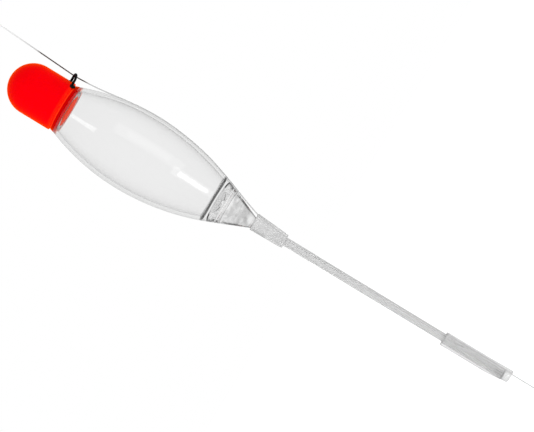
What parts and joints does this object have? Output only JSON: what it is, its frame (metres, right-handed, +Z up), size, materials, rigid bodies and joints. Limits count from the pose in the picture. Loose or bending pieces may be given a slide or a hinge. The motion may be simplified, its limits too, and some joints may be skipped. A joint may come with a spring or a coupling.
{
  "type": "bobber float",
  "caption": "Clear hollow fishing float with a red tip, a wire line eye, and a slim stem on a silicone coupling whose sliding sleeve grips the line.",
  "frame": {"origin": "middle of the line sleeve's mouth, on the float's axis: the point where the line leaves the float", "axes": "+Z up the float's axis to its red tip, +X towards the wire eye and the line"},
  "size_m": [0.022, 0.0214, 0.1988],
  "materials": {
    "clear_body": "clear polished plastic, thin wall",
    "red_cap": "fluorescent red, semi-gloss",
    "black_wire": "black varnished steel wire",
    "clear_plug": "clear moulded plastic, thick",
    "silicone": "milky translucent silicone",
    "stem_tube": "translucent off-white tube",
    "grey_plug": "dark grey, satin",
    "fishing_line": "clear smoky monofilament"
  },
  "bodies": {
    "float_body": {"body_shell": "clear_body", "tip_cap": "red_cap", "wire_eye": "black_wire", "tail_plug": "clear_plug", "fishing_line": "fishing_line", "upper_line_loop": "fishing_line", "lower_line_loop": "fishing_line"},
    "stem_set": {"stem": "stem_tube", "stem_end_plug": "grey_plug", "coupling_sleeve": "silicone"},
    "grip": {"line_sleeve": "silicone"}
  },
  "joints": [
    {"name": "stem_pull", "type": "slide", "parent": "float_body", "child": "stem_set", "axis": [0, 0, -1], "range_m": [0, 0.006]},
    {"name": "sleeve_slide", "type": "slide", "parent": "stem_set", "child": "grip", "axis": [0, 0, 1], "range_m": [-0.0185, 0.047]}
  ]
}
